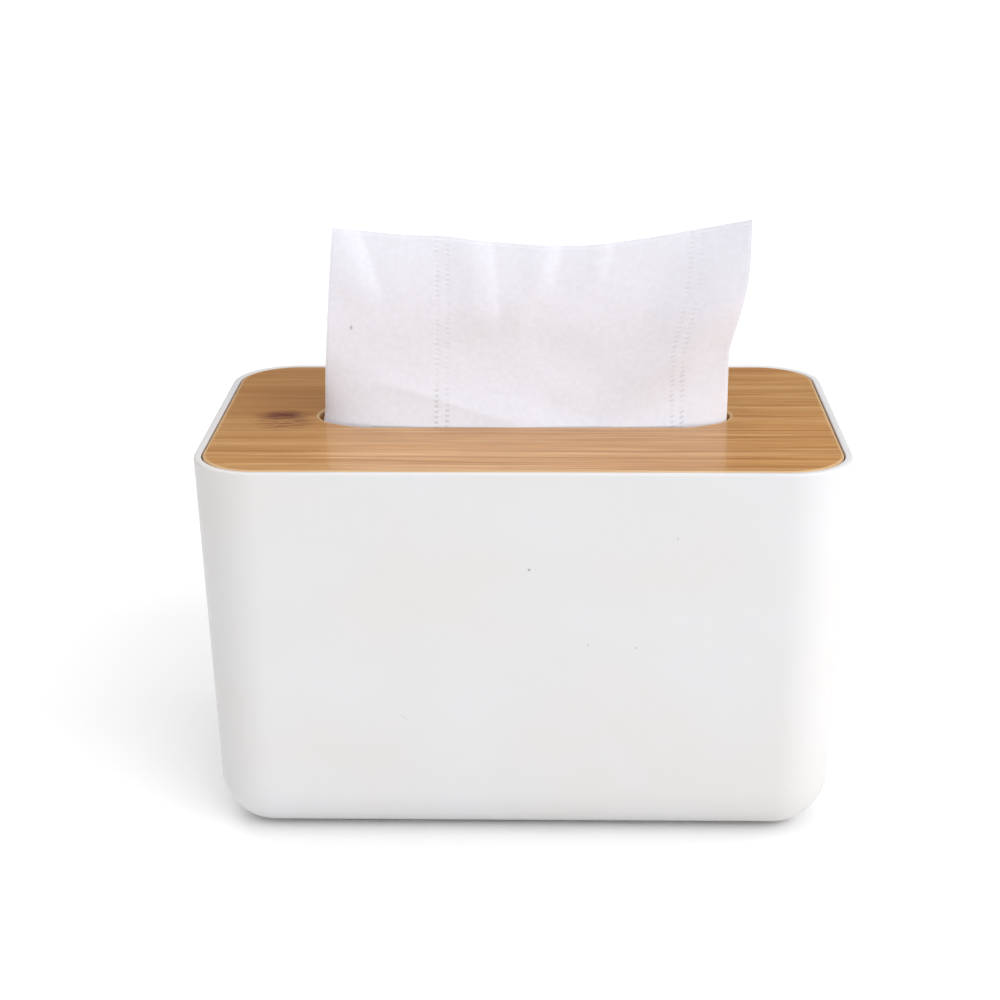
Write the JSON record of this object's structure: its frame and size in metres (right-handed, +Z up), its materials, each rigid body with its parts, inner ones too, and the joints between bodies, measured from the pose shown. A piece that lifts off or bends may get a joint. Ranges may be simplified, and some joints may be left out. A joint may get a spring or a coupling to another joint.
{
  "type": "paper towel box",
  "caption": "White moulded tub with leaning walls and round corners, a flush wooden lid with one long slot, and a folded tissue standing up through it.",
  "frame": {"origin": "middle of the tub's flat base, on the surface that it stands on", "axes": "+X along the length, to the right as seen from the front; +Y towards the back; +Z up"},
  "size_m": [0.21, 0.13, 0.1935],
  "materials": {
    "tub_plastic": "satin",
    "lid_wood": "satin",
    "tissue_paper": "matt"
  },
  "bodies": {
    "box": {"tub": "tub_plastic", "tissue_pack": "tissue_paper"},
    "lid": {"lid": "lid_wood", "pulled_tissue": "tissue_paper"}
  },
  "joints": [
    {"name": "lid_lift", "type": "slide", "parent": "box", "child": "lid", "axis": [0, 0, 1], "range_m": [0, 0.06]}
  ]
}
